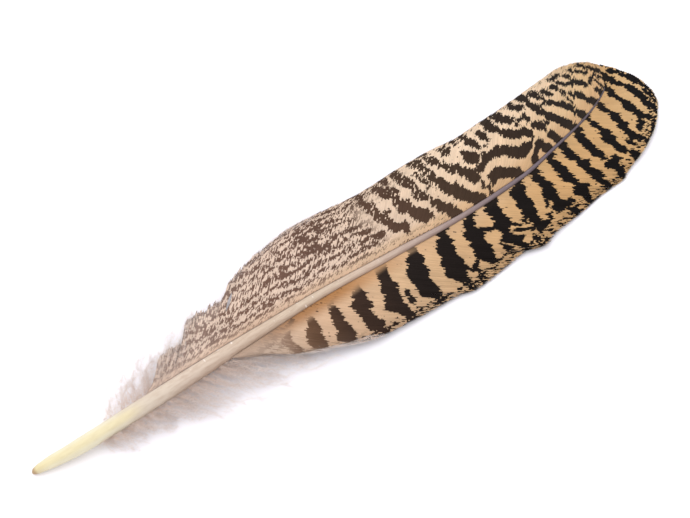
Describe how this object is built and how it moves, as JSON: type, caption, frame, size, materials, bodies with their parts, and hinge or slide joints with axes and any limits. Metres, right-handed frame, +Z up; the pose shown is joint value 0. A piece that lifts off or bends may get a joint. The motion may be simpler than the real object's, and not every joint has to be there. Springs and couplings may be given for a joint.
{
  "type": "peacock wing feather",
  "caption": "Barred and speckled peacock wing feather lying on a surface: a pale quill and shaft, two vanes, and soft down at their base.",
  "frame": {"origin": "middle of the feather's footprint, at the height of its lowest point", "axes": "+X from the quill's tip to the feather's tip, +Z up from the surface it lies on, +Y to the speckled inner vane"},
  "size_m": [0.301, 0.0692, 0.0104],
  "materials": {
    "shaft_keratin": "natural keratin, waxy satin, pale yellow quill fading to grey",
    "barred_vane": "zipped barbs, soft satin, buff with black bars",
    "speckled_vane": "zipped barbs, soft satin, cream and brown speckle",
    "down_fluff": "loose fluffy barbs, matte grey-beige"
  },
  "bodies": {
    "root": {"shaft": "shaft_keratin", "outer_vane": "barred_vane", "inner_vane": "speckled_vane", "outer_down": "down_fluff", "inner_down": "down_fluff"}
  },
  "joints": []
}
